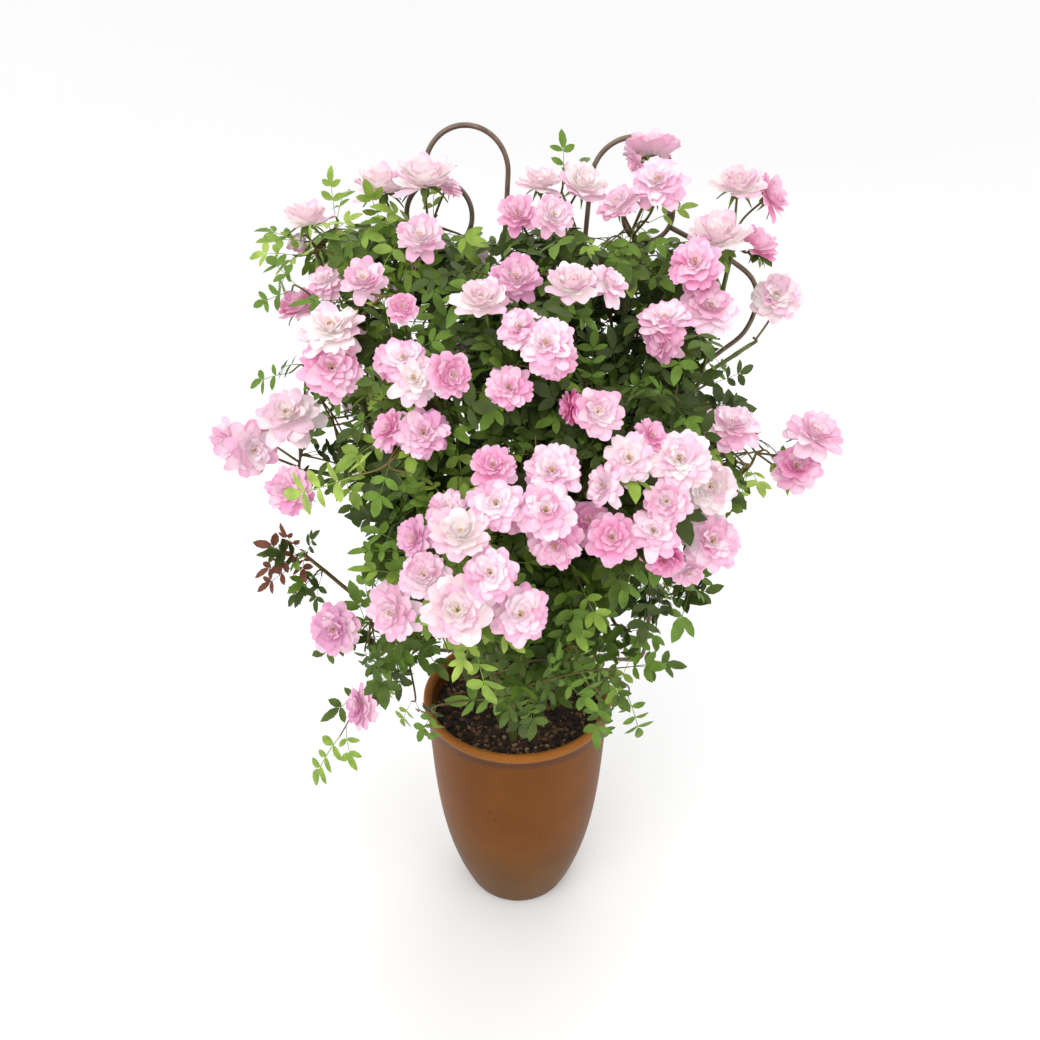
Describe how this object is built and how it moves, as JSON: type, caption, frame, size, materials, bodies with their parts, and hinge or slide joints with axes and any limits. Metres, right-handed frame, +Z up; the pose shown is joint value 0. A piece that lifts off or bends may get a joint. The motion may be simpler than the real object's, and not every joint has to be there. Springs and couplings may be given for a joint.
{
  "type": "potted rose bush",
  "caption": "Shrub rose in a tall glazed pot, its canes standing among the rods of a small bent-rod trellis, with clusters of full double blooms and pinnate leaves.",
  "frame": {"origin": "centre of the pot's flat underside", "axes": "+Z up the plant, -Y towards the picture's viewer, +X to the viewer's right"},
  "size_m": [0.6386, 0.5407, 0.9618],
  "materials": {
    "glaze": "satin glaze",
    "soil": "matte",
    "rod": "satin",
    "bark": "matte",
    "foliage": "matte"
  },
  "bodies": {
    "root": {"bough_back_left": "bark", "bough_back_right": "bark", "bough_far_left": "bark", "bough_far_right": "bark", "bough_far_top_left": "bark", "bough_left_middle": "bark", "bough_middle_cluster": "bark", "bough_right_cluster": "bark", "bough_right_middle": "bark", "bough_right_outer": "bark", "bough_right_tip": "bark", "cane_back": "bark", "cane_front": "bark", "cane_left": "bark", "cane_left_inner": "bark", "cane_middle": "bark", "cane_right": "bark", "cane_right_inner": "bark", "pot": "glaze", "soil": "soil", "spray_back_left": "foliage", "spray_back_low_left": "foliage", "spray_back_low_right": "foliage", "spray_back_middle": "foliage", "spray_back_right": "foliage", "spray_back_top_left": "foliage", "spray_back_top_right": "foliage", "spray_centre": "foliage", "spray_far_left": "foliage", "spray_far_right": "foliage", "spray_far_top_left": "foliage", "spray_front_cluster": "foliage", "spray_inner_back": "foliage", "spray_inner_left": "foliage", "spray_inner_middle": "foliage", "spray_inner_right": "foliage", "spray_left_low": "foliage", "spray_left_middle": "foliage", "spray_left_shoot": "foliage", "spray_left_upper": "foliage", "spray_middle_cluster": "foliage", "spray_middle_upper": "foliage", "spray_over_pot": "foliage", "spray_right_cluster": "foliage", "spray_right_low": "foliage", "spray_right_middle": "foliage", "spray_right_outer": "foliage", "spray_right_tip": "foliage", "spray_right_upper": "foliage", "spray_top_left": "foliage", "spray_top_middle": "foliage", "spray_top_right": "foliage", "trellis_hoop_left": "rod", "trellis_hoop_right": "rod", "trellis_lower_bar": "rod", "trellis_ring_left": "rod", "trellis_ring_right": "rod", "trellis_side_left": "rod", "trellis_side_right": "rod", "trellis_upper_bar": "rod"}
  },
  "joints": []
}
